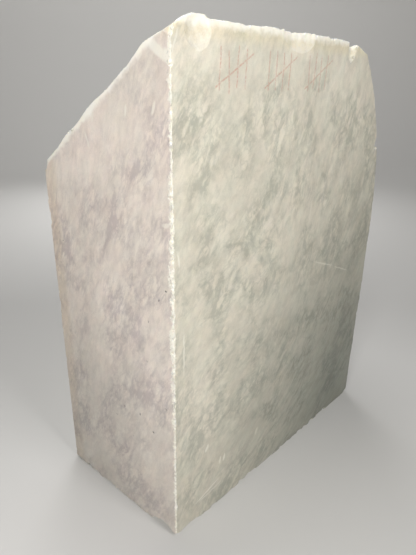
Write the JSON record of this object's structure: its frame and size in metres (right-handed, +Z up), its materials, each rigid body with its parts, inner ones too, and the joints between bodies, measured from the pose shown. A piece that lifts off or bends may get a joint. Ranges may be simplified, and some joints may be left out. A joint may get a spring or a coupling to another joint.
{
  "type": "marble block",
  "caption": "Upright block of grey-veined white marble, sawn on its faces and foot, with a broken sloping top and a rough rounded end.",
  "frame": {"origin": "middle of the bounding box, on the plane of the flat foot", "axes": "+Z up; the large sawn front face looks along -Y; the sawn left end looks roughly along -X; the rough rounded end looks along +X"},
  "size_m": [0.4874, 0.223, 0.6129],
  "materials": {
    "marble": "sawn white marble with soft grey veins; broken surfaces are whiter and sugary"
  },
  "bodies": {
    "root": {"marble_block": "marble"}
  },
  "joints": []
}
